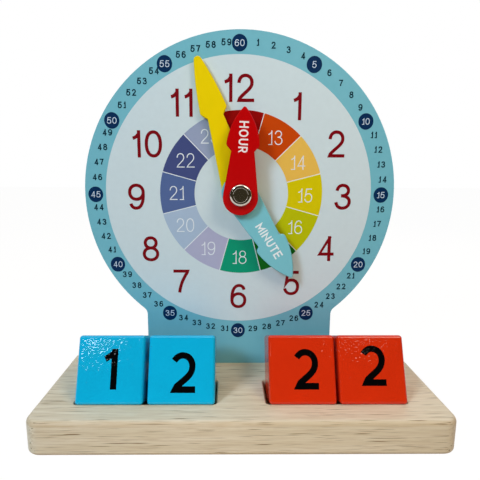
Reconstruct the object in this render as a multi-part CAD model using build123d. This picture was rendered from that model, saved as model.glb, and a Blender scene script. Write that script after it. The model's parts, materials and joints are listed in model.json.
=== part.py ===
from build123d import *
import os
from math import acos, atan2, cos, hypot, radians, sin

# Wooden teaching clock with three loose hands and four leaning number blocks.
# Millimetres, +Z up, the dial looks along -Y, and the origin is the centre of
# the base's underside.

# Base plank
base_width = 244.0
base_depth = 94.0
base_thickness = 20.5
base_corner_radius = 9.0  # corners seen from above
base_edge_round = 3.0  # top edges
base_foot_round = 2.2  # bottom edges
base_front = -base_depth / 2

# Trays: two pockets across the base, each the seat of two number blocks
tray_front_margin = 18.5  # from the front of the base to the tray
tray_width = 28.5  # front to back
tray_length = 84.6
tray_inner_end = 14.8  # from the centre line
tray_corner_radius = 2.0  # left by the cutter
tray_lip_chamfer = 0.6
tray_front = base_front + tray_front_margin
tray_back = tray_front + tray_width

# Number blocks
block_face = 40.0  # square front face
block_thickness = 29.0
block_corner_round = 2.0  # corners of the square faces
block_edge_chamfer = 1.2  # round both square faces
block_lean = 22.5  # degrees back from upright
seat_clearance = 0.05

# Middle of each block along X; they stand loosely, a millimetre or so from the
# ends of the trays and from each other
block_middles = {
    "hour_tens_block": -78.2,
    "hour_units_block": -35.7,
    "minute_tens_block": 36.5,
    "minute_units_block": 78.5,
}

# Clock board: a disc on a neck, with a tenon glued into the base
board_setback = 72.4  # from the front of the base to the printed face
hub_height = 141.3  # pivot above the underside of the base
disc_radius = 103.7
neck_width = 129.0
neck_fillet = 6.0  # between neck and disc
board_thickness = 5.0
sheet_thickness = 0.4
tenon_width = 110.0
tenon_depth = 8.0
groove_clearance = 0.1
sheet_front = base_front + board_setback
board_front = sheet_front + sheet_thickness
board_back = board_front + board_thickness

# Hands: flat plates with a round hub and an arrow head
hand_thickness = 3.0
hand_edge_chamfer = 0.4  # front edges only
hub_radius = 11.4
hub_drop = 1.6  # centre of the round hub end below the pivot
notch_round = 0.8

# Pivot
barrel_radius = 3.0
running_clearance = 0.05
pivot_hole_radius = barrel_radius + running_clearance
spacer_radius = 7.5
spacer_thickness = 1.0
cap_radius = 7.1
cap_height = 2.6
cap_rim_chamfer = 1.2
cap_ring_radius = 4.5  # shallow ring turned in the cap's flat face
cap_ring_width = 0.5
cap_ring_depth = 0.15
front_washer_radius = 6.6
front_washer_thickness = 0.6
rear_washer_radius = 8.0
rear_washer_thickness = 1.0
screw_radius = 2.0
screw_clearance = 0.1
screw_head_radius = 4.0
screw_head_height = 2.4
screw_recess_width = 1.0
screw_recess_length = 4.6
screw_recess_depth = 1.3
barrel_end_gap = 0.5  # barrel stops short of the board's back
screw_length = 12.0
screw_head_chamfer = 0.8
screw_end_gap = 1.0  # bore beyond the screw's tip

touch = 0.01  # how near two sizes count as the same


def upright(face, y_back, thickness):
    """A plate from an outline drawn in X and Z, with its back at y_back."""
    return extrude(Plane.XZ.offset(-y_back) * face, thickness)


def disc(radius, y_back, thickness, hole_radius=0.0):
    """A round plate or washer on the pivot's axis."""
    face = Pos(0, hub_height) * Circle(radius)
    if hole_radius:
        face -= Pos(0, hub_height) * Circle(hole_radius)
    return upright(face, y_back, thickness)


def seat_corner():
    """Y and Z of a block's back lower edge, were it sharp.

    A leaning block bears on the tray's two long lips: its bottom on the upper
    corner of the front lip's chamfer, and its back on the lower corner of the
    rear lip's. The corner is where the bottom and the back would meet.
    """
    lean = radians(block_lean)
    up = (sin(lean), cos(lean))
    forward = (-cos(lean), sin(lean))
    front_bearing = (tray_front - tray_lip_chamfer, base_thickness)
    rear_bearing = (tray_back, base_thickness - tray_lip_chamfer)
    along_up = front_bearing[0] * up[0] + front_bearing[1] * up[1]
    along_forward = rear_bearing[0] * forward[0] + rear_bearing[1] * forward[1]
    corner_y = along_up * up[0] + along_forward * forward[0]
    corner_z = along_up * up[1] + along_forward * forward[1]
    return corner_y, corner_z


def tray_floor():
    """Height of the tray floor, which a block's chamfered back edge just reaches."""
    return seat_corner()[1] + block_edge_chamfer * sin(radians(block_lean))


def make_base():
    plan = RectangleRounded(base_width, base_depth, base_corner_radius)
    plank = extrude(plan, base_thickness)
    plank = fillet(plank.edges().group_by(Axis.Z)[-1], base_edge_round)
    plank = fillet(plank.edges().group_by(Axis.Z)[0], base_foot_round)

    tray_centre = tray_inner_end + tray_length / 2
    tray_plan = RectangleRounded(tray_length, tray_width, tray_corner_radius)
    depth = base_thickness - tray_floor()
    for side in (-1, 1):
        place = Pos(side * tray_centre, (tray_front + tray_back) / 2, base_thickness)
        plank -= extrude(place * tray_plan, -depth)
    top_edges = plank.edges().filter_by_position(Axis.Z, base_thickness - touch, base_thickness + touch)
    lips = [edge for edge in top_edges if is_tray_edge(edge)]
    plank = chamfer(lips, tray_lip_chamfer)

    groove_plan = Rectangle(tenon_width + 2 * groove_clearance, board_thickness + 2 * groove_clearance)
    groove_place = Pos(0, (board_front + board_back) / 2, base_thickness)
    plank -= extrude(groove_place * groove_plan, -(tenon_depth + groove_clearance))
    return plank


def is_tray_edge(edge):
    """True for an edge that lies along a tray's outline."""
    middle = edge.center()
    within_length = tray_inner_end - touch < abs(middle.X) < tray_inner_end + tray_length + touch
    within_width = tray_front - touch < middle.Y < tray_back + touch
    return within_length and within_width


def board_outline():
    """The disc and its neck, down to the top of the base."""
    neck_height = hub_height - base_thickness
    neck = Pos(0, base_thickness + neck_height / 2) * Rectangle(neck_width, neck_height)
    outline = neck + Pos(0, hub_height) * Circle(disc_radius)
    inner_corners = [
        corner
        for corner in outline.vertices()
        if abs(abs(corner.X) - neck_width / 2) < touch and corner.Y > base_thickness + touch
    ]
    outline = fillet(inner_corners, neck_fillet)
    return outline - Pos(0, hub_height) * Circle(pivot_hole_radius)


def make_board():
    tenon_centre = base_thickness - tenon_depth / 2
    tenon = Pos(0, tenon_centre) * Rectangle(tenon_width, tenon_depth)
    return upright(board_outline() + tenon, board_back, board_thickness)


def make_sheet():
    return upright(board_outline(), board_front, sheet_thickness)


def hand_outline(apex, tip_round, head_half, head_base, head_bulge, waist_half, waist, barb_round):
    """A hand that points up, with its pivot at 0, 0.

    The head is a pointed arch: two bulged sides that would meet at apex. It is
    head_half wide each way at head_base, and steps in to the waist below. The
    shaft widens from the waist to the round hub.
    """
    right_side = SagittaArc((head_half, head_base), (0, apex), -head_bulge)
    left_side = SagittaArc((0, apex), (-head_half, head_base), -head_bulge)
    left_barb = Line((-head_half, head_base), (-waist_half, waist))
    right_barb = Line((waist_half, waist), (head_half, head_base))

    # The straight shaft sides are tangent to the hub's circle.
    reach = hypot(waist_half, waist + hub_drop)
    turn = atan2(waist_half, waist + hub_drop) + acos(hub_radius / reach)
    side = hub_radius * sin(turn)
    level = hub_radius * cos(turn) - hub_drop
    left_shaft = Line((-waist_half, waist), (-side, level))
    hub = ThreePointArc((-side, level), (0, -hub_radius - hub_drop), (side, level))
    right_shaft = Line((side, level), (waist_half, waist))
    sides = [right_side, left_side, left_barb, left_shaft, hub, right_shaft, right_barb]
    outline = make_face(Wire(sides))

    outline = fillet(corners_at(outline, 0, apex), tip_round)
    outline = fillet(corners_at(outline, head_half, head_base), barb_round)
    return fillet(corners_at(outline, waist_half, waist), notch_round)


def corners_at(outline, half_width, height):
    """The corner at this height, or the pair of them either side of the middle."""
    return [
        corner
        for corner in outline.vertices()
        if abs(abs(corner.X) - half_width) < touch and abs(corner.Y - height) < touch
    ]


def make_hand(outline, y_back, clockwise):
    """A hand with eased front edges, turned clockwise from 12 as seen from the front."""
    plate = upright(outline, y_back, hand_thickness)
    plate = chamfer(plate.edges().group_by(Axis.Y)[0], hand_edge_chamfer)
    plate = Pos(0, 0, hub_height) * Rot(0, clockwise, 0) * plate
    return plate - disc(pivot_hole_radius, y_back, hand_thickness)


def make_cap(y_back):
    """Flat cap with a bevelled rim, and its barrel, turned in one piece; the barrel is bored for the screw."""
    crown = y_back - cap_height
    cap = disc(cap_radius, y_back, cap_height)
    cap = chamfer(cap.edges().group_by(Axis.Y)[0], cap_rim_chamfer)
    cap -= disc(cap_ring_radius, crown + cap_ring_depth, cap_ring_depth, cap_ring_radius - cap_ring_width)

    barrel_end = board_back - barrel_end_gap
    barrel = disc(barrel_radius, barrel_end, barrel_end - y_back)
    screw_in_barrel = screw_length - rear_washer_thickness - barrel_end_gap
    bore = disc(screw_radius + screw_clearance, barrel_end, screw_in_barrel + screw_end_gap)
    return cap + barrel - bore


def make_screw():
    """Pan-head screw that pulls the barrel and the rear washer together."""
    head_back = board_back + rear_washer_thickness + screw_head_height
    head = disc(screw_head_radius, head_back, screw_head_height)
    head = chamfer(head.edges().group_by(Axis.Y)[-1], screw_head_chamfer)
    shank = disc(screw_radius, head_back - screw_head_height, screw_length)
    place = Pos(0, head_back - screw_recess_depth / 2, hub_height)
    across = Box(screw_recess_length, screw_recess_depth, screw_recess_width)
    down = Box(screw_recess_width, screw_recess_depth, screw_recess_length)
    return head + shank - place * across - place * down


def make_block(middle):
    """A number block leaning back in its tray."""
    face = Pos(0, block_face / 2) * RectangleRounded(block_face, block_face, block_corner_round)
    block = upright(face, 0, block_thickness)
    rims = block.edges().group_by(Axis.Y)
    block = chamfer(rims[0] + rims[-1], block_edge_chamfer)
    corner_y, corner_z = seat_corner()
    return Pos(middle, corner_y, corner_z + seat_clearance) * Rot(-block_lean, 0, 0) * block


# Where each flat piece on the pivot starts, from the printed face forwards
second_hand_back = sheet_front - spacer_thickness
minute_hand_back = second_hand_back - hand_thickness - spacer_thickness
hour_hand_back = minute_hand_back - hand_thickness - spacer_thickness
front_washer_back = hour_hand_back - hand_thickness
cap_back = front_washer_back - front_washer_thickness

second_outline = hand_outline(
    apex=97.0,
    tip_round=2.5,
    head_half=9.0,
    head_base=56.5,
    head_bulge=1.1,
    waist_half=5.3,
    waist=52.5,
    barb_round=2.2,
)
minute_outline = hand_outline(
    apex=66.5,
    tip_round=1.2,
    head_half=11.0,
    head_base=38.0,
    head_bulge=2.2,
    waist_half=8.1,
    waist=36.0,
    barb_round=2.0,
)
hour_outline = hand_outline(
    apex=55.8,
    tip_round=1.2,
    head_half=10.7,
    head_base=31.5,
    head_bulge=2.2,
    waist_half=7.4,
    waist=27.8,
    barb_round=2.2,
)

pieces = {
    "base": make_base(),
    "clock_board": make_board(),
    "dial_sheet": make_sheet(),
    "second_hand": make_hand(second_outline, second_hand_back, -18.0),
    "minute_hand": make_hand(minute_outline, minute_hand_back, 147.5),
    "hour_hand": make_hand(hour_outline, hour_hand_back, 2.5),
    "board_spacer": disc(spacer_radius, sheet_front, spacer_thickness, pivot_hole_radius),
    "minute_spacer": disc(
        spacer_radius, second_hand_back - hand_thickness, spacer_thickness, pivot_hole_radius
    ),
    "hour_spacer": disc(
        spacer_radius, minute_hand_back - hand_thickness, spacer_thickness, pivot_hole_radius
    ),
    "front_washer": disc(
        front_washer_radius, front_washer_back, front_washer_thickness, pivot_hole_radius
    ),
    "pivot_post": make_cap(cap_back),
    "rear_washer": disc(
        rear_washer_radius,
        board_back + rear_washer_thickness,
        rear_washer_thickness,
        screw_radius + screw_clearance,
    ),
    "pivot_screw": make_screw(),
}
for name, middle in block_middles.items():
    pieces[name] = make_block(middle)

os.makedirs("parts", exist_ok=True)
for name, piece in pieces.items():
    export_step(piece, f"parts/{name}.step")
    print(name, round(piece.volume), "mm3")
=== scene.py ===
import bpy
import bmesh
import json
import math
from mathutils import Euler, Matrix, Vector
from mathutils.geometry import delaunay_2d_cdt, interpolate_bezier

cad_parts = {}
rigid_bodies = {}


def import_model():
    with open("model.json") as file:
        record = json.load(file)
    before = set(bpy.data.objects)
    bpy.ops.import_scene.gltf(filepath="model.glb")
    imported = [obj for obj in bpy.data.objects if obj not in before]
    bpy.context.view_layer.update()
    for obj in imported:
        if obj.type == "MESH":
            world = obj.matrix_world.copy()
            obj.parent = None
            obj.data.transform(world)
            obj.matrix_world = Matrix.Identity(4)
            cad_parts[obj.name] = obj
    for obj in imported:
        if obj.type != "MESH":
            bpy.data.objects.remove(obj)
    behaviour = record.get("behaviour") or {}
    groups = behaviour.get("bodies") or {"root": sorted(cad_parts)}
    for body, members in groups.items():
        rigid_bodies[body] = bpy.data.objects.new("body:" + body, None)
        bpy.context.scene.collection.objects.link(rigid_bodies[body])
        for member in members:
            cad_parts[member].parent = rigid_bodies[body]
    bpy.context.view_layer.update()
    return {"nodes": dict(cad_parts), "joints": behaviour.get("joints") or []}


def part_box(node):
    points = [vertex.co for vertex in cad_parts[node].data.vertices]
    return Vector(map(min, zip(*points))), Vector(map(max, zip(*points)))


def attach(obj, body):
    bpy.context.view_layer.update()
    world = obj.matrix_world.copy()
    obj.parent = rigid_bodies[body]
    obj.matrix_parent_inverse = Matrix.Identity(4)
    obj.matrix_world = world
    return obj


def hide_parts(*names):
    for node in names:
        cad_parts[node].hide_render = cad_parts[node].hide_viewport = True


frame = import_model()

mm = 0.001
inkThickness = 0.05 * mm
scene = bpy.context.scene
print("frame loaded, parts:", len(frame["nodes"]))


# colours, shader nodes and meshes

def hexColour(code):
    # sRGB hex to the linear values that shader sockets take
    channels = [int(code[i:i + 2], 16) / 255 for i in (1, 3, 5)]
    return [c / 12.92 if c <= 0.04045 else ((c + 0.055) / 1.055) ** 2.4 for c in channels] + [1.0]


def shaded(code, share):
    # a colour at a share of its brightness
    return [c * share for c in hexColour(code)[:3]] + [1.0]


def addNode(tree, kind, settings=None, links=None):
    # settings are properties, or inputs by name or number; links are inputs by name or number
    node = tree.nodes.new(kind)
    settings = settings or {}
    inputs = {key: value for key, value in settings.items() if isinstance(key, int) or key in node.inputs}
    for key, value in settings.items():
        if key not in inputs:
            setattr(node, key, value)
    for key, value in inputs.items():
        node.inputs[key].default_value = value
    for key, socket in (links or {}).items():
        tree.links.new(socket, node.inputs[key])
    return node


def startMaterial(name, **settings):
    material = bpy.data.materials.new(name)
    material.use_nodes = True
    tree = material.node_tree
    tree.nodes.clear()
    values = {key.replace("_", " "): value for key, value in settings.items()}
    shader = addNode(tree, "ShaderNodeBsdfPrincipled", values)
    addNode(tree, "ShaderNodeOutputMaterial", links={"Surface": shader.outputs[0]})
    return material, tree, shader


def placedCoords(tree, scale=(1, 1, 1), centre=(0, 0, 0), turn=(0, 0, 0)):
    # object coordinates about a centre, in metres, turned and then scaled along each axis
    coords = addNode(tree, "ShaderNodeTexCoord").outputs["Object"]
    about = addNode(tree, "ShaderNodeVectorMath", {"operation": "SUBTRACT", 1: centre}, {0: coords})
    placed = addNode(tree, "ShaderNodeMapping", {"Rotation": turn, "Scale": scale},
                     {"Vector": about.outputs[0]})
    return placed.outputs[0]


def mixColours(tree, factor, first, second):
    # each of the three is a socket or a plain value
    node = addNode(tree, "ShaderNodeMix", {"data_type": "RGBA"})
    for index, value in ((0, factor), (6, first), (7, second)):
        if isinstance(value, bpy.types.NodeSocket):
            tree.links.new(value, node.inputs[index])
        else:
            node.inputs[index].default_value = value
    return node.outputs[2]


def ramp(tree, factor, low, high):
    # 0 below low, 1 above high
    return addNode(tree, "ShaderNodeMapRange", {1: low, 2: high}, {0: factor}).outputs[0]


def meshObject(name, bm, material):
    mesh = bpy.data.meshes.new(name)
    bm.to_mesh(mesh)
    bm.free()
    piece = bpy.data.objects.new(name, mesh)
    scene.collection.objects.link(piece)
    mesh.materials.append(material)
    return piece


def paintNode(name, material):
    # a CAD part keeps its shape and takes the finish
    part = frame["nodes"][name]
    part.data.materials.clear()
    part.data.materials.append(material)


# numerals are strokes of one even width, drawn in a unit box

# Each stroke starts at a point; two numbers go on in a straight line, six in a Bezier curve.
strokes = {
    "0": [[(0.5, 1.0), (0.82, 1.0, 1.0, 0.80, 1.0, 0.5), (1.0, 0.20, 0.82, 0.0, 0.5, 0.0),
           (0.18, 0.0, 0.0, 0.20, 0.0, 0.5), (0.0, 0.80, 0.18, 1.0, 0.5, 1.0)]],
    "1": [[(0.9, 0.0), (0.9, 1.0)], [(0.88, 0.93), (0.66, 0.82, 0.38, 0.76, 0.0, 0.74)]],
    "2": [[(0.04, 0.70), (0.06, 0.90, 0.24, 1.0, 0.50, 1.0), (0.78, 1.0, 0.95, 0.88, 0.95, 0.70),
           (0.95, 0.45, 0.30, 0.28, 0.0, 0.0), (1.0, 0.0)]],
    "3": [[(0.05, 0.76), (0.10, 0.92, 0.26, 1.0, 0.46, 1.0), (0.73, 1.0, 0.89, 0.89, 0.89, 0.76),
           (0.89, 0.62, 0.70, 0.54, 0.36, 0.54)],
          [(0.36, 0.54), (0.76, 0.54, 0.98, 0.44, 0.98, 0.28), (0.98, 0.11, 0.78, 0.0, 0.48, 0.0),
           (0.22, 0.0, 0.05, 0.10, 0.0, 0.26)]],
    "4": [[(0.76, 0.0), (0.76, 1.0)], [(0.76, 1.0), (0.0, 0.25), (1.0, 0.25)]],
    "5": [[(0.92, 1.0), (0.22, 1.0), (0.10, 0.50), (0.20, 0.60, 0.34, 0.64, 0.50, 0.64),
           (0.80, 0.64, 0.98, 0.52, 0.98, 0.33), (0.98, 0.12, 0.78, 0.0, 0.48, 0.0),
           (0.22, 0.0, 0.05, 0.10, 0.0, 0.25)]],
    "6": [[(0.93, 0.80), (0.88, 0.93, 0.74, 1.0, 0.56, 1.0), (0.18, 1.0, 0.0, 0.76, 0.01, 0.34)],
          [(0.01, 0.31), (0.01, 0.49, 0.24, 0.61, 0.50, 0.61), (0.78, 0.61, 0.99, 0.49, 0.99, 0.31),
           (0.99, 0.12, 0.78, 0.0, 0.50, 0.0), (0.22, 0.0, 0.01, 0.12, 0.01, 0.31)]],
    "7": [[(0.0, 1.0), (1.0, 1.0), (0.64, 0.70, 0.38, 0.34, 0.33, 0.0)]],
    "8": [[(0.5, 1.0), (0.74, 1.0, 0.90, 0.90, 0.90, 0.77), (0.90, 0.64, 0.74, 0.54, 0.5, 0.54),
           (0.26, 0.54, 0.10, 0.64, 0.10, 0.77), (0.10, 0.90, 0.26, 1.0, 0.5, 1.0)],
          [(0.5, 0.54), (0.78, 0.54, 1.0, 0.43, 1.0, 0.27), (1.0, 0.11, 0.78, 0.0, 0.5, 0.0),
           (0.22, 0.0, 0.0, 0.11, 0.0, 0.27), (0.0, 0.43, 0.22, 0.54, 0.5, 0.54)]],
    "E": [[(1.0, 1.0), (0.0, 1.0), (0.0, 0.0), (1.0, 0.0)], [(0.0, 0.52), (0.9, 0.52)]],
    "H": [[(0.0, 0.0), (0.0, 1.0)], [(1.0, 0.0), (1.0, 1.0)], [(0.0, 0.52), (1.0, 0.52)]],
    "I": [[(0.5, 0.0), (0.5, 1.0)]],
    "M": [[(0.0, 0.0), (0.0, 1.0), (0.5, 0.25), (1.0, 1.0), (1.0, 0.0)]],
    "N": [[(0.0, 0.0), (0.0, 1.0), (1.0, 0.0), (1.0, 1.0)]],
    "O": [[(0.5, 1.0), (0.80, 1.0, 1.0, 0.78, 1.0, 0.5), (1.0, 0.22, 0.80, 0.0, 0.5, 0.0),
           (0.20, 0.0, 0.0, 0.22, 0.0, 0.5), (0.0, 0.78, 0.20, 1.0, 0.5, 1.0)]],
    "R": [[(0.0, 0.0), (0.0, 1.0), (0.52, 1.0), (0.84, 1.0, 0.95, 0.87, 0.95, 0.71),
           (0.95, 0.54, 0.82, 0.44, 0.52, 0.44), (0.0, 0.44)], [(0.5, 0.44), (1.0, 0.0)]],
    "T": [[(0.0, 1.0), (1.0, 1.0)], [(0.5, 0.0), (0.5, 1.0)]],
    "U": [[(0.0, 1.0), (0.0, 0.38), (0.0, 0.14, 0.20, 0.0, 0.5, 0.0), (0.80, 0.0, 1.0, 0.14, 1.0, 0.38),
           (1.0, 1.0)]],
}
strokes["9"] = [[tuple(1 - c for c in knot) for knot in stroke] for stroke in strokes["6"]]
strokes["foot"] = [[(0.1, 0.0), (1.7, 0.0)]]  # under a 1 in the smaller lettering
# bolder forms for the blocks
strokes["broadOne"] = [[(0.85, 0.0), (0.85, 1.0)], [(0.8, 0.965), (0.05, 0.84)]]
strokes["broadTwo"] = [[(0.03, 0.84), (0.14, 0.93, 0.29, 1.0, 0.46, 1.0), (0.78, 1.0, 1.0, 0.87, 1.0, 0.68),
                        (1.0, 0.40, 0.62, 0.32, 0.0, 0.0), (1.0, 0.0)]]

footWeight = 0.9  # of the stroke's width

# how wide a character is beside a digit of width 1
characterWidths = {"1": 0.58, "broadOne": 0.60,
                   "I": 0.25, "M": 1.30, "O": 1.25, "N": 1.12, "H": 1.1, "U": 1.08}


def strokePoints(stroke, curveSteps):
    points = [Vector(stroke[0])]
    for knot in stroke[1:]:
        if len(knot) == 2:
            points.append(Vector(knot))
        else:
            controls = [points[-1], Vector(knot[0:2]), Vector(knot[2:4]), Vector(knot[4:6])]
            spaced = interpolate_bezier(*[point.to_3d() for point in controls], curveSteps)
            points += [p.to_2d() for p in spaced[1:]]
    return points


longestMitre = 4.0  # a sharp corner reaches this many half stroke widths at most
samePlace = 1e-6  # two points nearer than this are one


def characterFaces(character, height, width, weight, curveSteps):
    # quads along each stroke, in millimetres; they overlap where strokes cross
    def inside(p):
        return Vector((min(max(p.x, 0), width), min(max(p.y, 0), height)))

    quads = []
    for stroke in strokes[character]:
        line = [Vector((weight / 2 + p.x * (width - weight), weight / 2 + p.y * (height - weight)))
                for p in strokePoints(stroke, curveSteps)]
        closed = (line[0] - line[-1]).length < samePlace
        if not closed:  # straight ends reach the edge of the box
            if len(stroke[1]) == 2:
                line[0] += (line[0] - line[1]).normalized() * weight / 2
            if len(stroke[-1]) == 2:
                line[-1] += (line[-1] - line[-2]).normalized() * weight / 2
        ways = [(b - a).normalized() for a, b in zip(line, line[1:])]
        sides = []
        for i in range(len(line)):
            before = ways[i - 1] if i else ways[-1 if closed else 0]
            after = ways[i] if i < len(ways) else ways[0 if closed else -1]
            mitre = (before + after).normalized()
            reach = weight / 2 / max(mitre.dot(after), 1 / longestMitre)
            sides.append(Vector((-mitre.y, mitre.x)) * reach)
        for i in range(len(ways)):
            quads.append([inside(p) for p in (line[i] + sides[i], line[i] - sides[i],
                                              line[i + 1] - sides[i + 1], line[i + 1] + sides[i + 1])])
    return quads


def wordQuads(word, style):
    # the quads of a whole word or number, centred on its ink, in millimetres
    quads = []
    across = 0
    height = style["height"]
    weight = style["weight"] * height
    for character in word:
        width = style["width"] * height * characterWidths.get(character, 1)
        shapes = characterFaces(character, height, width, weight, style["curveSteps"])
        if character == "1" and style["foot"]:
            shapes += characterFaces("foot", height, width, weight * footWeight, 1)
        quads += [[p + Vector((across, 0)) for p in quad] for quad in shapes]
        across += width + style["gap"] * height
    xs = [p.x for quad in quads for p in quad]
    middle = Vector(((min(xs) + max(xs)) / 2, height / 2))
    return [[p - middle for p in quad] for quad in quads]


def thicken(bm, thickness):
    # a flat sheet at Y 0 becomes a closed slab from Y 0 forwards
    front = bmesh.ops.extrude_face_region(bm, geom=list(bm.faces))
    moved = [item for item in front["geom"] if isinstance(item, bmesh.types.BMVert)]
    bmesh.ops.translate(bm, verts=moved, vec=(0, -thickness, 0))
    bmesh.ops.recalc_face_normals(bm, faces=bm.faces)


def inkShape(quads):
    # one flat outline from overlapping quads, given the thickness of a coat of ink, facing -Y
    finest = 3  # decimal places of a millimetre that the corners are rounded to
    thinnest = 0.002  # a triangle thinner than this share of its longest side is a sliver
    together = 1e-4  # mm, corners nearer than this become one
    nearlyFlat = 0.01  # radians between edges that are joined into one
    points, faces = [], []
    for quad in quads:
        a, b, c, d = [Vector((round(p.x, finest), round(p.y, finest))) for p in quad]
        for corner in ([a, b, c], [a, c, d]):
            turn = (corner[1] - corner[0]).cross(corner[2] - corner[0])
            if abs(turn) > thinnest * max((p - q).length for p in corner for q in corner):
                faces.append([len(points), len(points) + 1, len(points) + 2])
                points += corner if turn > 0 else corner[::-1]
    # type 0 fills the whole hull, and a triangle without an owner lies outside the ink
    flat, _, triangles, _, _, owners = delaunay_2d_cdt(points, [], faces, 0, together)
    bm = bmesh.new()
    corners = [bm.verts.new((p.x * mm, 0, p.y * mm)) for p in flat]
    for triangle, owner in zip(triangles, owners):
        if owner:
            bm.faces.new([corners[i] for i in triangle])
    bmesh.ops.delete(bm, geom=[v for v in bm.verts if not v.link_faces], context="VERTS")
    bmesh.ops.dissolve_limit(bm, angle_limit=nearlyFlat, verts=bm.verts, edges=bm.edges)
    bmesh.ops.triangulate(bm, faces=bm.faces)
    thicken(bm, inkThickness)
    return bm


print("numerals ready")


# the printed dial

dial = {
    "middleX": -0.85,  # mm, the print sits a little left of the pivot
    "discRadius": 88.9,
    "spacerHole": 7.6,
    "ground": "#CFDFE3",
    "hourInk": "#7C000E",
    "minuteInk": "#052A38",
    "badgeInk": "#002A52",
    "badgeNumberInk": "#CBDCEC",
    "wheelNumberInk": "#E3EAEE",
    "badgeSize": (9.9, 10.5),
    "discSteps": 180, "badgeSteps": 32,
}
inkFinish = {"roughness": 0.42, "specular": 0.1, "mottle": 3.0, "darkest": 0.94}  # mottle in mm
hourStyle = {"height": 17.5, "width": 0.65, "weight": 0.124, "gap": 0.13, "curveSteps": 12, "foot": False}
minuteStyle = {"height": 4.2, "width": 0.66, "weight": 0.18, "gap": 0.22, "curveSteps": 4, "foot": True}
badgeStyle = {"height": 4.1, "width": 0.68, "weight": 0.105, "gap": 0.17, "curveSteps": 4, "foot": True}
wheelStyle = {"height": 9.3, "width": 0.58, "weight": 0.066, "gap": 0.13, "curveSteps": 8, "foot": True}

# rings of numbers: radius and shift of the ring's centre in mm, turn in degrees clockwise
minuteRing = {"count": 60, "radius": 95.84, "shift": (1.04, 0.68), "turn": 0.33}
badgeRing = {"count": 12, "radius": 95.85, "shift": (0.0, -0.2), "turn": 0.0}
hourRing = {"count": 12, "radius": 69.75, "shift": (0.33, -1.63), "turn": 0.0}
wheelRing = {"count": 12, "radius": 43.2, "shift": (1.6, 0.1), "turn": 1.0}

# how far each hour number is set off its place on the ring, in mm, from 12 round to 11
hourNudges = [(-0.4, 0.2), (2.6, -1.7), (3.5, 0.0), (0.1, 0.2), (-0.7, -0.5), (1.8, 0.6),
              (-0.15, 0.5), (-4.7, 1.4), (0.0, -0.8), (0.8, -0.1), (-0.3, -0.4), (-2.8, 0.2)]

wheel = {
    "shift": (1.7, 0.3), "inner": 31.4, "outer": 54.4, "turn": 0.6, "arcSteps": 12,
    "divider": 0.5, "dividerInk": "#E6EEF0",
    "colours": ["#940200", "#C84602", "#EABC52", "#D8C800", "#BDC000", "#006A12",
                "#009872", "#AEB0CC", "#A8BDD4", "#54699A", "#444E80", "#96A2BE"],  # from 24 round to 23
}

pivot = Vector(frame["joints"][0]["pos_m"])
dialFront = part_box("dial_sheet")[0].y
dialMiddle = Vector((dial["middleX"] * mm, dialFront, pivot.z))


def onDial(shift, layer):
    # a place on the dial, right and up of the middle in mm, on top of so many coats of ink
    return dialMiddle + Vector((shift[0] * mm, -layer * inkThickness, shift[1] * mm))


def startInk(name):
    # Screen printed ink under a satin film: flat colour, faint mottling, weak soft sheen
    material, tree, shader = startMaterial(name, Roughness=inkFinish["roughness"], IOR=1.5,
                                           Specular_IOR_Level=inkFinish["specular"])
    mottle = addNode(tree, "ShaderNodeTexNoise", {"Scale": 1 / (inkFinish["mottle"] * mm), "Detail": 3.0},
                     {"Vector": placedCoords(tree)})
    return material, tree, shader, mottle.outputs[0]


def printMaterial(name, code):
    # one ink of one colour
    material, tree, shader, mottle = startInk(name)
    colour = mixColours(tree, mottle, hexColour(code), shaded(code, inkFinish["darkest"]))
    tree.links.new(colour, shader.inputs["Base Color"])
    return material


def ringTree():
    # the shapes of a collection go round clockwise from the top, each standing upright
    tree = bpy.data.node_groups.new("numbersInARing", "GeometryNodeTree")
    sockets = (("Count", "Int"), ("Radius", "Float"), ("Turn", "Float"), ("Middle", "Vector"),
               ("Shapes", "Collection"), ("Ink", "Material"))
    for name, kind in sockets:
        tree.interface.new_socket(name, in_out="INPUT", socket_type="NodeSocket" + kind)
    tree.interface.new_socket("Geometry", in_out="OUTPUT", socket_type="NodeSocketGeometry")
    given = addNode(tree, "NodeGroupInput").outputs
    index = addNode(tree, "GeometryNodeInputIndex").outputs[0]
    step = addNode(tree, "ShaderNodeMath", {"operation": "DIVIDE", 0: math.tau}, {1: given["Count"]})
    angle = addNode(tree, "ShaderNodeMath", {"operation": "MULTIPLY_ADD"},
                    {0: index, 1: step.outputs[0], 2: given["Turn"]}).outputs[0]
    across = addNode(tree, "ShaderNodeMath", {"operation": "SINE"}, {0: angle}).outputs[0]
    upward = addNode(tree, "ShaderNodeMath", {"operation": "COSINE"}, {0: angle}).outputs[0]
    way = addNode(tree, "ShaderNodeCombineXYZ", links={"X": across, "Z": upward}).outputs[0]
    place = addNode(tree, "ShaderNodeVectorMath", {"operation": "SCALE"},
                    {0: way, "Scale": given["Radius"]}).outputs[0]
    place = addNode(tree, "ShaderNodeVectorMath", links={0: place, 1: given["Middle"]}).outputs[0]
    points = addNode(tree, "GeometryNodePoints", links={"Count": given["Count"], "Position": place})
    shapes = addNode(tree, "GeometryNodeCollectionInfo",
                     {"Separate Children": True, "Reset Children": True}, {"Collection": given["Shapes"]})
    ring = addNode(tree, "GeometryNodeInstanceOnPoints", {"Pick Instance": True},
                   {"Points": points.outputs[0], "Instance": shapes.outputs[0], "Instance Index": index})
    solid = addNode(tree, "GeometryNodeRealizeInstances", links={"Geometry": ring.outputs[0]})
    inked = addNode(tree, "GeometryNodeSetMaterial",
                    links={"Geometry": solid.outputs[0], "Material": given["Ink"]})
    addNode(tree, "NodeGroupOutput", links={"Geometry": inked.outputs[0]})
    return tree


numbersInARing = ringTree()


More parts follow.
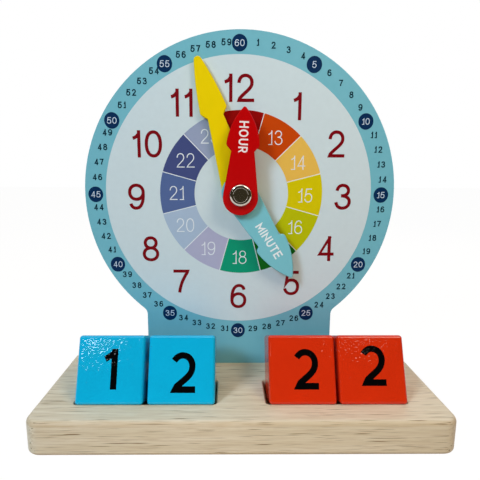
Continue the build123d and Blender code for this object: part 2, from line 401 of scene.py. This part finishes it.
def makeRing(name, ring, layer, shapes, ink):
    # the shapes, one for each place, go round the dial and become one plain mesh
    store = bpy.data.collections.new(name + "Shapes")
    scene.collection.children.link(store)
    for i, bm in enumerate(shapes):
        mesh = bpy.data.meshes.new("shape")
        bm.to_mesh(mesh)
        bm.free()
        store.objects.link(bpy.data.objects.new(f"{name}_{i:02d}", mesh))
    carrier = bpy.data.objects.new("carrier", bpy.data.meshes.new("carrier"))
    scene.collection.objects.link(carrier)
    modifier = carrier.modifiers.new("ring", "NODES")
    modifier.node_group = numbersInARing
    values = {"Count": ring["count"], "Radius": ring["radius"] * mm, "Turn": math.radians(ring["turn"]),
              "Middle": onDial(ring["shift"], layer), "Shapes": store, "Ink": ink}
    for socket in numbersInARing.interface.items_tree:
        if socket.name in values:
            modifier[socket.identifier] = values[socket.name]
    mesh = bpy.data.meshes.new_from_object(carrier.evaluated_get(bpy.context.evaluated_depsgraph_get()))
    mesh.name = name
    for leftover in [carrier] + list(store.objects):
        bpy.data.objects.remove(leftover)
    bpy.data.collections.remove(store)
    piece = bpy.data.objects.new(name, mesh)
    scene.collection.objects.link(piece)
    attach(piece, "stand")
    return piece


def ringSegment(bm, inner, outer, start, end, steps, trim=0.0):
    # flat ring segment about the origin, angles clockwise from the top;
    # trim narrows it by a parallel gap, half of it at each end
    rows = []
    for radius in (inner, outer):
        cut = math.asin(trim / 2 / radius)
        angles = [start + cut + (end - start - 2 * cut) * i / steps for i in range(steps + 1)]
        rows.append([bm.verts.new((radius * math.sin(a), 0, radius * math.cos(a))) for a in angles])
    return [bm.faces.new((rows[0][i], rows[1][i], rows[1][i + 1], rows[0][i + 1])) for i in range(steps)]


def makeDialDisc():
    bm = bmesh.new()
    ringSegment(bm, dial["spacerHole"] * mm, dial["discRadius"] * mm, 0, math.tau, dial["discSteps"])
    bmesh.ops.remove_doubles(bm, verts=bm.verts, dist=samePlace)
    thicken(bm, inkThickness)
    bmesh.ops.translate(bm, verts=bm.verts, vec=onDial((0, 0), 0))
    return meshObject("dial_disc", bm, printMaterial("screenPrintedPaleBlue", dial["ground"]))


def wheelMaterial():
    # the same ink in many colours: the colour of each sector comes with its faces
    material, tree, shader, mottle = startInk("screenPrintedWheel")
    tint = addNode(tree, "ShaderNodeVertexColor", {"layer_name": "sectorColour"}).outputs[0]
    shade = addNode(tree, "ShaderNodeMapRange", {3: 1.0, 4: inkFinish["darkest"]}, {0: mottle}).outputs[0]
    tinted = addNode(tree, "ShaderNodeVectorMath", {"operation": "SCALE"}, {0: tint, "Scale": shade})
    tree.links.new(tinted.outputs[0], shader.inputs["Base Color"])
    return material


def makeWheel():
    # the coloured sectors and the white lines between them, in one coat
    bm = bmesh.new()
    tint = bm.loops.layers.float_color.new("sectorColour")
    turn = math.radians(wheel["turn"])
    sector = math.tau / len(wheel["colours"])
    for i, code in enumerate(wheel["colours"]):
        middle = turn + i * sector
        made = ringSegment(bm, wheel["inner"] * mm, wheel["outer"] * mm, middle - sector / 2,
                           middle + sector / 2, wheel["arcSteps"], wheel["divider"] * mm)
        edge = middle + sector / 2
        along = Vector((math.sin(edge), 0, math.cos(edge)))
        beside = Vector((along.z, 0, -along.x)) * wheel["divider"] / 2 * mm
        ends = (along * wheel["inner"] * mm, along * wheel["outer"] * mm)
        line = bm.faces.new([bm.verts.new(p) for p in (ends[0] - beside, ends[1] - beside,
                                                       ends[1] + beside, ends[0] + beside)])
        painted = [(face, hexColour(code)) for face in made] + [(line, hexColour(wheel["dividerInk"]))]
        for face, colour in painted:
            for loop in face.loops:
                loop[tint] = colour
    thicken(bm, inkThickness)
    bmesh.ops.translate(bm, verts=bm.verts, vec=onDial(wheel["shift"], 1))
    return meshObject("colour_wheel", bm, wheelMaterial())


def badgeShape():
    # a small upright oval
    bm = bmesh.new()
    wide, tall = (size / 2 * mm for size in dial["badgeSize"])
    angles = [math.tau * i / dial["badgeSteps"] for i in range(dial["badgeSteps"])]
    bm.faces.new([bm.verts.new((wide * math.cos(a), 0, tall * math.sin(a))) for a in angles])
    thicken(bm, inkThickness)
    return bm


def numberShape(number, style, nudge=(0, 0)):
    return inkShape([[p + Vector(nudge) for p in quad] for quad in wordQuads(str(number), style)])


for piece in (makeDialDisc(), makeWheel()):
    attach(piece, "stand")
minuteInk = printMaterial("screenPrintedTealInk", dial["minuteInk"])
makeRing("minute_numbers", minuteRing, 0,
         [numberShape(i, minuteStyle) if i % 5 else bmesh.new() for i in range(60)], minuteInk)
makeRing("minute_badges", badgeRing, 0, [badgeShape() for i in range(12)],
         printMaterial("screenPrintedNavyInk", dial["badgeInk"]))
makeRing("badge_numbers", badgeRing, 1, [numberShape(i * 5 or 60, badgeStyle) for i in range(12)],
         printMaterial("screenPrintedWhiteInk", dial["badgeNumberInk"]))
makeRing("hour_numbers", hourRing, 1,
         [numberShape(i or 12, hourStyle, hourNudges[i]) for i in range(12)],
         printMaterial("screenPrintedCrimsonInk", dial["hourInk"]))
makeRing("wheel_numbers", wheelRing, 2, [numberShape(i + 12 if i else 24, wheelStyle) for i in range(12)],
         printMaterial("screenPrintedThinWhiteInk", dial["wheelNumberInk"]))
print("dial printed")


# the printed sheet on the board

sheet = {"light": "#74B9C8", "dark": "#6EB4C3", "mottle": 4.0, "film": 1.5, "filmDepth": 0.05}  # sizes in mm


def sheetMaterial():
    # Printed sheet under a satin laminate: flat teal with faint mottling, even sheen
    material, tree, shader = startMaterial("laminatedTealPrint", Roughness=0.40, IOR=1.5,
                                           Specular_IOR_Level=0.25)
    mottle = addNode(tree, "ShaderNodeTexNoise", {"Scale": 1 / (sheet["mottle"] * mm), "Detail": 3.0},
                     {"Vector": placedCoords(tree)})
    colour = mixColours(tree, mottle.outputs[0], hexColour(sheet["light"]), hexColour(sheet["dark"]))
    tree.links.new(colour, shader.inputs["Base Color"])
    film = addNode(tree, "ShaderNodeTexNoise", {"Scale": 1 / (sheet["film"] * mm), "Detail": 2.0},
                   {"Vector": placedCoords(tree)})
    bump = addNode(tree, "ShaderNodeBump", {"Strength": 0.05, "Distance": sheet["filmDepth"] * mm},
                   {"Height": film.outputs[0]})
    tree.links.new(bump.outputs[0], shader.inputs["Normal"])
    return material


paintNode("dial_sheet", sheetMaterial())


# words on the hands

# angle in degrees clockwise from the top, reach in mm from the pivot; inwards reads towards the pivot
words = {
    "hour": {"text": "HOUR", "hand": "hour_hand", "body": "hour_pointer", "slot": "crimson_paint",
             "angle": 2.5, "reach": 36.6, "ink": "#F3E9E7", "inwards": True},
    "minute": {"text": "MINUTE", "hand": "minute_hand", "body": "minute_pointer", "slot": "sky_paint",
               "angle": 147.5, "reach": 36.0, "ink": "#EEF4F5", "inwards": False},
}
wordStyle = {"height": 6.0, "width": 0.62, "weight": 0.165, "gap": 0.16, "curveSteps": 6, "foot": False}


def makeHandWord(name, word):
    # letters run along the hand, on its front face
    bm = inkShape(wordQuads(word["text"], wordStyle))
    clockwise = math.radians(word["angle"])
    reading = clockwise + (math.pi / 2 if word["inwards"] else -math.pi / 2)
    place = pivot + Vector((math.sin(clockwise), 0, math.cos(clockwise))) * word["reach"] * mm
    place.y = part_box(word["hand"])[0].y
    bm.transform(Matrix.Translation(place) @ Matrix.Rotation(reading, 4, "Y"))
    piece = meshObject(name + "_word", bm, printMaterial(name + "WhiteInk", word["ink"]))
    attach(piece, word["body"])


for name, word in words.items():
    makeHandWord(name, word)
print("words printed")


# hands

hands = {
    "second_hand": {"paint": "sprayedYellowPaint", "colour": "#F2D400"},
    "minute_hand": {"paint": "sprayedSkyPaint", "colour": "#7BC6D2"},
    "hour_hand": {"paint": "sprayedCrimsonPaint", "colour": "#C00003"},
}
handPaint = {"cloud": 12.0, "darkest": 0.93, "grain": 0.8, "grainDepth": 0.1}  # sizes in mm


def handMaterial(name, code):
    # Sprayed satin paint on birch ply: even colour, fine spray grain and a soft broad sheen
    material, tree, shader = startMaterial(name, Roughness=0.34, IOR=1.5, Specular_IOR_Level=0.1)
    cloud = addNode(tree, "ShaderNodeTexNoise", {"Scale": 1 / (handPaint["cloud"] * mm), "Detail": 2.0},
                    {"Vector": placedCoords(tree)})
    colour = mixColours(tree, cloud.outputs[0], hexColour(code), shaded(code, handPaint["darkest"]))
    tree.links.new(colour, shader.inputs["Base Color"])
    spray = addNode(tree, "ShaderNodeTexNoise", {"Scale": 1 / (handPaint["grain"] * mm), "Detail": 3.0},
                    {"Vector": placedCoords(tree)})
    bump = addNode(tree, "ShaderNodeBump", {"Strength": 0.12, "Distance": handPaint["grainDepth"] * mm},
                   {"Height": spray.outputs[0]})
    tree.links.new(bump.outputs[0], shader.inputs["Normal"])
    return material


for name, hand in hands.items():
    paintNode(name, handMaterial(hand["paint"], hand["colour"]))
print("hands painted")


# pivot: cap, washers, screw and spacers

plating = {"nickel": "#CCC4B8", "zinc": "#A9A9A7", "cloud": 2.5, "darkest": 0.93}  # cloud in mm


def metalMaterial(name, code, roughness, dulling):
    # Plated metal: bright reflections, a little duller in small clouds
    material, tree, shader = startMaterial(name, Metallic=1.0, Roughness=roughness)
    cloud = addNode(tree, "ShaderNodeTexNoise", {"Scale": 1 / (plating["cloud"] * mm), "Detail": 4.0},
                    {"Vector": placedCoords(tree)})
    colour = mixColours(tree, cloud.outputs[0], hexColour(code), shaded(code, plating["darkest"]))
    tree.links.new(colour, shader.inputs["Base Color"])
    rough = addNode(tree, "ShaderNodeMapRange", {3: roughness, 4: roughness + dulling},
                    {0: cloud.outputs[0]})
    tree.links.new(rough.outputs[0], shader.inputs["Roughness"])
    return material


cap = {  # mm
    "rimRound": 1.3, "height": 2.6, "barrelRadius": 3.0, "boreRadius": 2.1, "boreDepth": 11.5,
    "ringInner": 4.4, "ringOuter": 4.9, "ringDepth": 0.05, "ringSlope": 0.15,
    "steps": 96, "rimSteps": 10,
}
sharpAngle = 12  # degrees between faces past which an edge shows


def turnProfile(name, profile, steps, material):
    # a profile of radius and depth pairs, turned about the pivot's axis; it starts and ends on the axis
    bm = bmesh.new()
    rings = []
    for radius, depth in profile:
        turns = [math.tau * i / steps for i in range(steps)] if radius else [0.0]
        rings.append([bm.verts.new((pivot.x + radius * math.sin(a), depth, pivot.z + radius * math.cos(a)))
                      for a in turns])
    for near, far in zip(rings, rings[1:]):
        for i in range(steps):
            j = i + 1
            corners = [near[i % len(near)], near[j % len(near)], far[j % len(far)], far[i % len(far)]]
            bm.faces.new(list(dict.fromkeys(corners)))  # three corners beside the axis, four elsewhere
    bmesh.ops.recalc_face_normals(bm, faces=bm.faces)
    piece = meshObject(name, bm, material)
    for face in piece.data.polygons:
        face.use_smooth = True
    piece.data.set_sharp_from_angle(angle=math.radians(sharpAngle))
    return piece


def makeCap(material):
    # a shallow ring in the face, a rounded rim, and the barrel with its bore behind
    low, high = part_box("pivot_post")
    edge = (high.x - low.x) / 2
    rim = cap["rimRound"] * mm
    front = low.y
    back = front + cap["height"] * mm
    inner, outer = cap["ringInner"] * mm, cap["ringOuter"] * mm
    slope, sunk = cap["ringSlope"] * mm, front + cap["ringDepth"] * mm
    groove = [(inner, front), (inner + slope, sunk), (outer - slope, sunk), (outer, front)]
    angles = [math.pi / 2 * i / cap["rimSteps"] for i in range(cap["rimSteps"] + 1)]
    shoulder = [(edge - rim + rim * math.sin(a), front + rim - rim * math.cos(a)) for a in angles]
    barrel, bore = cap["barrelRadius"] * mm, cap["boreRadius"] * mm
    bottom = high.y - cap["boreDepth"] * mm
    shank = [(edge, back), (barrel, back), (barrel, high.y), (bore, high.y), (bore, bottom), (0, bottom)]
    piece = turnProfile("turned_cap", [(0, front)] + groove + shoulder + shank, cap["steps"], material)
    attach(piece, "stand")
    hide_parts("pivot_post")


makeCap(metalMaterial("polishedNickelPlate", plating["nickel"], 0.06, 0.03))
zincPlate = metalMaterial("zincPlatedSteel", plating["zinc"], 0.32, 0.15)
for name in ("front_washer", "rear_washer", "pivot_screw"):
    paintNode(name, zincPlate)


spacer = {"light": "#E4E3DD", "dark": "#D8D6CE", "cloud": 2.0}  # cloud in mm


def nylonMaterial():
    # Natural nylon, moulded: milky white, faintly cloudy, half matt
    material, tree, shader = startMaterial("naturalNylon", Roughness=0.5, IOR=1.53)
    cloud = addNode(tree, "ShaderNodeTexNoise", {"Scale": 1 / (spacer["cloud"] * mm), "Detail": 2.0},
                    {"Vector": placedCoords(tree)})
    colour = mixColours(tree, cloud.outputs[0], hexColour(spacer["light"]), hexColour(spacer["dark"]))
    tree.links.new(colour, shader.inputs["Base Color"])
    return material


nylon = nylonMaterial()
for name in ("board_spacer", "minute_spacer", "hour_spacer"):
    paintNode(name, nylon)
print("pivot finished")


# timber

plank = {  # widths in mm; the grain runs along X
    "light": "#ECDEC4", "patch": "#E2D3B6", "latewood": "#DAC9A8", "fibre": "#D2BE9E",
    # the brown and the share after the pore give painted shade on the rounded edges
    "pore": "#8E7450", "poreDepth": 0.12, "paintedRoundShade": "#AD8C5E", "paintedRoundShadeShare": 0.36,
    "heart": (20, 140, -110),  # mm, where the middle of the trunk lay
    "tilt": (0, 0.8, 1.4),  # degrees between the trunk and the plank
    "ringWidth": 4.5, "ringWander": 35.0, "wandersPerMetre": 9.0, "ringContrast": 0.55,
    "fibreWidth": 0.9, "patchWidth": 45.0,
    "poreWidth": 0.65,  # real pores are finer, and are drawn this wide to show
}


def trunkRings(tree):
    # growth rings about the heart of the trunk, wandering a little, from 0 up to the contrast
    place = placedCoords(tree, centre=[c * mm for c in plank["heart"]],
                         turn=[math.radians(angle) for angle in plank["tilt"]])
    wander = addNode(tree, "ShaderNodeTexNoise", {"Scale": plank["wandersPerMetre"], "Detail": 3.0},
                     {"Vector": placedCoords(tree, scale=(0.35, 1, 1))})
    reach = plank["ringWander"] * mm
    drift = addNode(tree, "ShaderNodeVectorMath", {"operation": "MULTIPLY_ADD", 1: (0, reach, reach)},
                    {0: wander.outputs["Color"], 2: place})
    apart = addNode(tree, "ShaderNodeSeparateXYZ", links={0: drift.outputs[0]}).outputs
    across = addNode(tree, "ShaderNodeCombineXYZ", links={"Y": apart[1], "Z": apart[2]})
    radius = addNode(tree, "ShaderNodeVectorMath", {"operation": "LENGTH"}, {0: across.outputs[0]})
    perMetre = math.tau / (plank["ringWidth"] * mm)
    turns = addNode(tree, "ShaderNodeMath", {"operation": "MULTIPLY", 1: perMetre},
                    {0: radius.outputs["Value"]})
    waves = addNode(tree, "ShaderNodeMath", {"operation": "SINE"}, {0: turns.outputs[0]})
    return addNode(tree, "ShaderNodeMapRange", {1: -1.0, 2: 1.0, 3: 0.0, 4: plank["ringContrast"]},
                   {0: waves.outputs[0]}).outputs[0]


def burnishedEdges(tree):
    # painted shade on the rounded edges: how far a face is darkened brown, not where it is level or upright,
    # most on the rounds between
    normal = addNode(tree, "ShaderNodeTexCoord").outputs["Normal"]
    apart = addNode(tree, "ShaderNodeSeparateXYZ", links={0: normal}).outputs
    upward = addNode(tree, "ShaderNodeMath", {"operation": "ABSOLUTE"}, {0: apart[2]})
    onEdge = addNode(tree, "ShaderNodeMath", {"operation": "PINGPONG", 1: 0.5}, {0: upward.outputs[0]})
    return addNode(tree, "ShaderNodeMapRange", {1: 0.0, 2: 0.2, 3: 0.0, 4: plank["paintedRoundShadeShare"]},
                   {0: onEdge.outputs[0]}).outputs[0]


def rubberwoodMaterial():
    # Rubberwood plank, sanded and lacquered: pale straw, soft growth lines, thin dark pores, and painted
    # shade on the rounded edges
    material, tree, shader = startMaterial("lacqueredRubberwood", Roughness=0.45, IOR=1.5,
                                           Specular_IOR_Level=0.25)
    patches = addNode(tree, "ShaderNodeTexNoise", {"Scale": 1 / (plank["patchWidth"] * mm), "Detail": 2.0},
                      {"Vector": placedCoords(tree, scale=(0.5, 1, 1))}).outputs[0]
    fibre = addNode(tree, "ShaderNodeTexNoise",
                    {"Scale": 1 / (plank["fibreWidth"] * mm), "Detail": 4.0, "Roughness": 0.6},
                    {"Vector": placedCoords(tree, scale=(0.045, 1, 1))}).outputs[0]
    pores = addNode(tree, "ShaderNodeTexNoise", {"Scale": 1 / (plank["poreWidth"] * mm), "Detail": 1.0},
                    {"Vector": placedCoords(tree, scale=(0.032, 1, 1))}).outputs[0]
    pores = ramp(tree, pores, 0.64, 0.75)
    patches = ramp(tree, patches, 0.35, 0.65)
    colour = mixColours(tree, patches, hexColour(plank["light"]), hexColour(plank["patch"]))
    colour = mixColours(tree, trunkRings(tree), colour, hexColour(plank["latewood"]))
    colour = mixColours(tree, ramp(tree, fibre, 0.45, 0.7), colour, hexColour(plank["fibre"]))
    # painted shade darkening the rounded edges towards brown
    colour = mixColours(tree, burnishedEdges(tree), colour, hexColour(plank["paintedRoundShade"]))
    colour = mixColours(tree, pores, colour, hexColour(plank["pore"]))
    tree.links.new(colour, shader.inputs["Base Color"])
    bump = addNode(tree, "ShaderNodeBump",
                   {"Strength": 0.25, "Distance": plank["poreDepth"] * mm, "invert": True}, {"Height": pores})
    tree.links.new(bump.outputs[0], shader.inputs["Normal"])
    return material


plywood = {  # widths in mm; the grain of the faces runs upright
    "plies": 5, "paleLayer": "#D8C09A", "darkLayer": "#A98458",
    "veneer": "#DDC6A2", "figure": "#C9AE86", "fibre": "#B89A70",
    "figureWidth": 7.0, "fibreWidth": 0.7,
}


def birchPlyMaterial():
    # Birch plywood, sanded: veneer figure on the faces, light and dark layers along the edge
    material, tree, shader = startMaterial("sandedBirchPly", Roughness=0.55, IOR=1.5)
    front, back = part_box("clock_board")[0].y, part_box("clock_board")[1].y
    coords = addNode(tree, "ShaderNodeTexCoord").outputs
    depth = addNode(tree, "ShaderNodeSeparateXYZ", links={0: coords["Object"]}).outputs[1]
    layer = addNode(tree, "ShaderNodeMapRange", {1: front, 2: back, 3: 0.0, 4: float(plywood["plies"])},
                    {0: depth}).outputs[0]
    layer = addNode(tree, "ShaderNodeMath", {"operation": "FLOOR"}, {0: layer}).outputs[0]
    odd = addNode(tree, "ShaderNodeMath", {"operation": "MODULO", 1: 2.0}, {0: layer}).outputs[0]
    edge = mixColours(tree, odd, hexColour(plywood["paleLayer"]), hexColour(plywood["darkLayer"]))
    figure = addNode(tree, "ShaderNodeTexNoise",
                     {"Scale": 1 / (plywood["figureWidth"] * mm), "Detail": 4.0, "Distortion": 1.2},
                     {"Vector": placedCoords(tree, scale=(1, 1, 0.12))}).outputs[0]
    fibre = addNode(tree, "ShaderNodeTexNoise", {"Scale": 1 / (plywood["fibreWidth"] * mm), "Detail": 3.0},
                    {"Vector": placedCoords(tree, scale=(1, 1, 0.06))}).outputs[0]
    veneer = mixColours(tree, figure, hexColour(plywood["veneer"]), hexColour(plywood["figure"]))
    veneer = mixColours(tree, ramp(tree, fibre, 0.45, 0.8), veneer, hexColour(plywood["fibre"]))
    facing = addNode(tree, "ShaderNodeSeparateXYZ", links={0: coords["Normal"]}).outputs[1]
    face = addNode(tree, "ShaderNodeMath", {"operation": "ABSOLUTE"}, {0: facing}).outputs[0]
    colour = mixColours(tree, ramp(tree, face, 0.4, 0.6), edge, veneer)
    tree.links.new(colour, shader.inputs["Base Color"])
    return material


paintNode("base", rubberwoodMaterial())
paintNode("clock_board", birchPlyMaterial())
print("timber finished")


# number blocks

block = {"face": 40.0, "thickness": 29.0, "lean": 22.5, "rounding": 1.8, "roundingSteps": 4}
blockStyle = {"height": 23.3, "width": 0.64, "weight": 0.16, "gap": 0.1, "curveSteps": 12, "foot": False}
blocks = {  # digits front and back, both set right and up of the middle of their face by the shift in mm
    "hour_tens_block": {"body": "hour_tens", "paint": "blue_enamel",
                        "digits": ("broadOne", "0"), "shift": (0.3, 0.4)},
    "hour_units_block": {"body": "hour_units", "paint": "blue_enamel",
                         "digits": ("broadTwo", "3"), "shift": (0.8, -1.6)},
    "minute_tens_block": {"body": "minute_tens", "paint": "red_enamel",
                          "digits": ("broadTwo", "4"), "shift": (2.1, 0.2)},
    "minute_units_block": {"body": "minute_units", "paint": "red_enamel",
                           "digits": ("broadTwo", "5"), "shift": (0.5, 2.2)},
}
enamel = {
    "blue": "#08B4E0", "red": "#D82F0B", "digit": "#050506", "gloss": 0.8, "digitGloss": 0.3,
    "cloud": 14.0, "darkest": 0.9, "peel": 1.15, "peelDepth": 0.085,  # sizes in mm
}


def enamelMaterial(name, code, gloss):
    # Gloss enamel on wood: strong colour, glassy coat, orange peel about 1.2 mm across
    material, tree, shader = startMaterial(name, Roughness=0.4, IOR=1.5, Specular_IOR_Level=0.0,
                                           Coat_Weight=gloss, Coat_Roughness=0.03)
    cloud = addNode(tree, "ShaderNodeTexNoise", {"Scale": 1 / (enamel["cloud"] * mm), "Detail": 2.0},
                    {"Vector": placedCoords(tree)})
    colour = mixColours(tree, cloud.outputs[0], hexColour(code), shaded(code, enamel["darkest"]))
    tree.links.new(colour, shader.inputs["Base Color"])
    peel = addNode(tree, "ShaderNodeTexNoise", {"Scale": 1 / (enamel["peel"] * mm), "Detail": 0.0},
                   {"Vector": placedCoords(tree)})
    bump = addNode(tree, "ShaderNodeBump", {"Strength": 1.0, "Distance": enamel["peelDepth"] * mm},
                   {"Height": peel.outputs[0]})
    for socket in ("Normal", "Coat Normal"):
        tree.links.new(bump.outputs[0], shader.inputs[socket])
    return material


paints = {"blue_enamel": enamelMaterial("glossBlueEnamel", enamel["blue"], enamel["gloss"]),
          "red_enamel": enamelMaterial("glossRedEnamel", enamel["red"], enamel["gloss"])}
# black ink stamped on the enamel shows the same peel with less gloss
digitInk = enamelMaterial("blackStampedInk", enamel["digit"], enamel["digitGloss"])


def makeBlock(node, settings):
    # a rounded block in place of the plain one, with a digit of ink on its front and its back
    low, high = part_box(node)
    leaned = Matrix.Translation((low + high) / 2) @ Matrix.Rotation(-math.radians(block["lean"]), 4, "X")
    sides = (block["face"], block["thickness"], block["face"])
    bm = bmesh.new()
    bmesh.ops.create_cube(bm, size=mm)
    bmesh.ops.scale(bm, verts=bm.verts, vec=sides)
    bmesh.ops.bevel(bm, geom=bm.edges[:] + bm.verts[:], offset=block["rounding"] * mm,
                    segments=block["roundingSteps"], profile=0.5, affect="EDGES")
    # every corner is shaded as if it looked straight away from the block's core, so the flats stay flat
    core = [(side / 2 - block["rounding"]) * mm for side in sides]
    nearest = [Vector([min(max(c, -reach), reach) for c, reach in zip(v.co, core)]) for v in bm.verts]
    outwards = [v.co - point for v, point in zip(bm.verts, nearest)]
    bm.transform(leaned)
    piece = meshObject(node.replace("_block", "_painted"), bm, paints[settings["paint"]])
    for face in piece.data.polygons:
        face.use_smooth = True
    lean = leaned.to_3x3()
    piece.data.normals_split_custom_set_from_vertices([(lean @ way).normalized() for way in outwards])
    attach(piece, settings["body"])
    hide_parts(node)
    for side, turn, digit in zip(("front", "back"), (0.0, math.pi), settings["digits"]):
        label = inkShape(wordQuads([digit], blockStyle))
        shift = Vector((settings["shift"][0], -block["thickness"] / 2, settings["shift"][1])) * mm
        label.transform(leaned @ Matrix.Rotation(turn, 4, "Z") @ Matrix.Translation(shift))
        label = meshObject(node.replace("_block", "_digit_" + side), label, digitInk)
        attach(label, settings["body"])


for node, settings in blocks.items():
    makeBlock(node, settings)
print("blocks painted")


# camera, floor and light

camera = {
    "place": (-8.791, -255.263, 156.301),  # mm
    "turn": (80.3775, -0.1677, -0.4935),  # degrees about X, Y and Z
    "lens": 31.153, "sensor": 36.0, "shift": (0.0196, 0.0045),
}


def makeCamera():
    data = bpy.data.cameras.new("camera")
    data.lens, data.sensor_width = camera["lens"], camera["sensor"]
    data.shift_x, data.shift_y = camera["shift"]
    data.clip_start = 0.01
    turn = Euler([math.radians(angle) for angle in camera["turn"]])
    viewer = bpy.data.objects.new("camera", data)
    viewer.matrix_world = Matrix.LocRotScale(Vector(camera["place"]) * mm, turn, None)
    scene.collection.objects.link(viewer)
    scene.camera = viewer


sweep = {"paper": "#A8937A", "glow": 1.15, "glowShare": 0.85, "reach": 4.0}  # metres each way


def makeFloor():
    # White sweep: shows as white, and keeps a faint shadow
    bm = bmesh.new()
    bmesh.ops.create_grid(bm, x_segments=1, y_segments=1, size=sweep["reach"])
    material = bpy.data.materials.new("whiteSweep")
    material.use_nodes = True
    tree = material.node_tree
    tree.nodes.clear()
    paper = addNode(tree, "ShaderNodeBsdfDiffuse", {"Color": hexColour(sweep["paper"])})
    glow = addNode(tree, "ShaderNodeEmission", {"Color": hexColour("#FFFFFF"), "Strength": sweep["glow"]})
    seen = addNode(tree, "ShaderNodeLightPath").outputs
    shown = addNode(tree, "ShaderNodeMath", {"operation": "MAXIMUM"},
                    {0: seen["Is Camera Ray"], 1: seen["Is Glossy Ray"]})
    share = addNode(tree, "ShaderNodeMath", {"operation": "MULTIPLY", 1: sweep["glowShare"]},
                    {0: shown.outputs[0]})
    mixed = addNode(tree, "ShaderNodeMixShader",
                    links={0: share.outputs[0], 1: paper.outputs[0], 2: glow.outputs[0]})
    addNode(tree, "ShaderNodeOutputMaterial", links={"Surface": mixed.outputs[0]})
    meshObject("floor", bm, material)


studio = {"fill": "#F2F4F8", "strength": 0.1}


def makeWorld():
    # a faint even fill light; the background itself shows plain white
    world = bpy.data.worlds.new("studio")
    scene.world = world
    world.use_nodes = True
    tree = world.node_tree
    tree.nodes.clear()
    seen = addNode(tree, "ShaderNodeLightPath").outputs
    shown = addNode(tree, "ShaderNodeMath", {"operation": "MAXIMUM"},
                    {0: seen["Is Camera Ray"], 1: seen["Is Glossy Ray"]})
    shown = addNode(tree, "ShaderNodeMath", {"operation": "MAXIMUM"},
                    {0: shown.outputs[0], 1: seen["Is Transmission Ray"]})
    fill = addNode(tree, "ShaderNodeBackground",
                   {"Color": hexColour(studio["fill"]), "Strength": studio["strength"]})
    white = addNode(tree, "ShaderNodeBackground", {"Color": hexColour("#FFFFFF")})
    mixed = addNode(tree, "ShaderNodeMixShader",
                    links={0: shown.outputs[0], 1: fill.outputs[0], 2: white.outputs[0]})
    addNode(tree, "ShaderNodeOutputWorld", links={"Surface": mixed.outputs[0]})


# metres, and degrees to either side of straight in front
paintedReflectionSheet = {"colour": "#3E3A2C", "radius": 1.0, "height": 0.85, "spread": 100, "steps": 24}


def makeFlag():
    # A dim brown glowing sheet round the front of the table, seen only in reflections: a painted dark
    # reflection of the dim side of the room
    bm = bmesh.new()
    radius, steps, spread = paintedReflectionSheet["radius"], paintedReflectionSheet["steps"], math.radians(paintedReflectionSheet["spread"])
    angles = [spread * (2 * i / steps - 1) for i in range(steps + 1)]
    lower, upper = [[bm.verts.new((radius * math.sin(a), -radius * math.cos(a), height)) for a in angles]
                    for height in (0.0, paintedReflectionSheet["height"])]
    for i in range(steps):
        bm.faces.new((lower[i], lower[i + 1], upper[i + 1], upper[i]))
    material = bpy.data.materials.new("paintedDarkReflection")
    material.use_nodes = True
    tree = material.node_tree
    tree.nodes.clear()
    # a dim glow and no lamp: the painted dark reflection
    dim = addNode(tree, "ShaderNodeEmission", {"Color": hexColour(paintedReflectionSheet["colour"])})
    addNode(tree, "ShaderNodeOutputMaterial", links={"Surface": dim.outputs[0]})
    flag = meshObject("flag", bm, material)
    flag.visible_camera = flag.visible_diffuse = flag.visible_shadow = False


lampAim = (0, 0.01, 0.13)
# from the aim, side is degrees right of straight in front and rise is degrees up; far and size in metres
lamps = {
    "leftWindow": {"side": -45, "rise": 34, "far": 1.3, "size": 0.36, "watts": 11.6, "colour": "#CFE8FF"},
    "leftGlint": {"side": -26, "rise": 14.5, "far": 0.63, "size": 0.044, "watts": 0.085, "colour": "#F4F8FF"},
    "rightGlint": {"side": 24, "rise": 16, "far": 0.63, "size": 0.036, "watts": 0.025, "colour": "#FFF8EC"},
    "highRight": {"side": 40, "rise": 42, "far": 0.5, "size": 0.22, "watts": 1.05, "colour": "#FFEAD0"},
    "skylight": {"side": -25, "rise": 72, "far": 0.7, "size": 0.4, "watts": 0.62, "colour": "#FFF6EA"},
    "sideWindow": {"side": 100, "rise": 35, "far": 0.45, "size": 0.2, "watts": 0.3, "colour": "#C8DEFF"},
    "rearWindow": {"side": 150, "rise": 32, "far": 0.9, "size": 0.4, "watts": 1.4, "colour": "#EAF2FF"},
    "lowBounce": {"side": 0, "rise": -24, "far": 0.28, "size": 0.2, "watts": 0.18, "colour": "#FFF2E0"},
}
unseenInGloss = ("rearWindow", "lowBounce")


def makeLamps():
    for name, settings in lamps.items():
        side, rise = math.radians(settings["side"]), math.radians(settings["rise"])
        away = Vector((math.sin(side) * math.cos(rise), -math.cos(side) * math.cos(rise), math.sin(rise)))
        data = bpy.data.lights.new(name, "AREA")
        data.shape = "DISK"
        data.size = settings["size"]
        data.energy = settings["watts"]
        data.color = hexColour(settings["colour"])[:3]
        lamp = bpy.data.objects.new(name, data)
        lamp.location = Vector(lampAim) + away * settings["far"]
        lamp.rotation_euler = (-away).to_track_quat("-Z", "Y").to_euler()
        lamp.visible_camera = False
        lamp.visible_glossy = name not in unseenInGloss
        scene.collection.objects.link(lamp)


makeCamera()
makeFloor()
makeWorld()
makeFlag()
makeLamps()
scene.view_settings.view_transform = "Standard"
print("camera and light set")
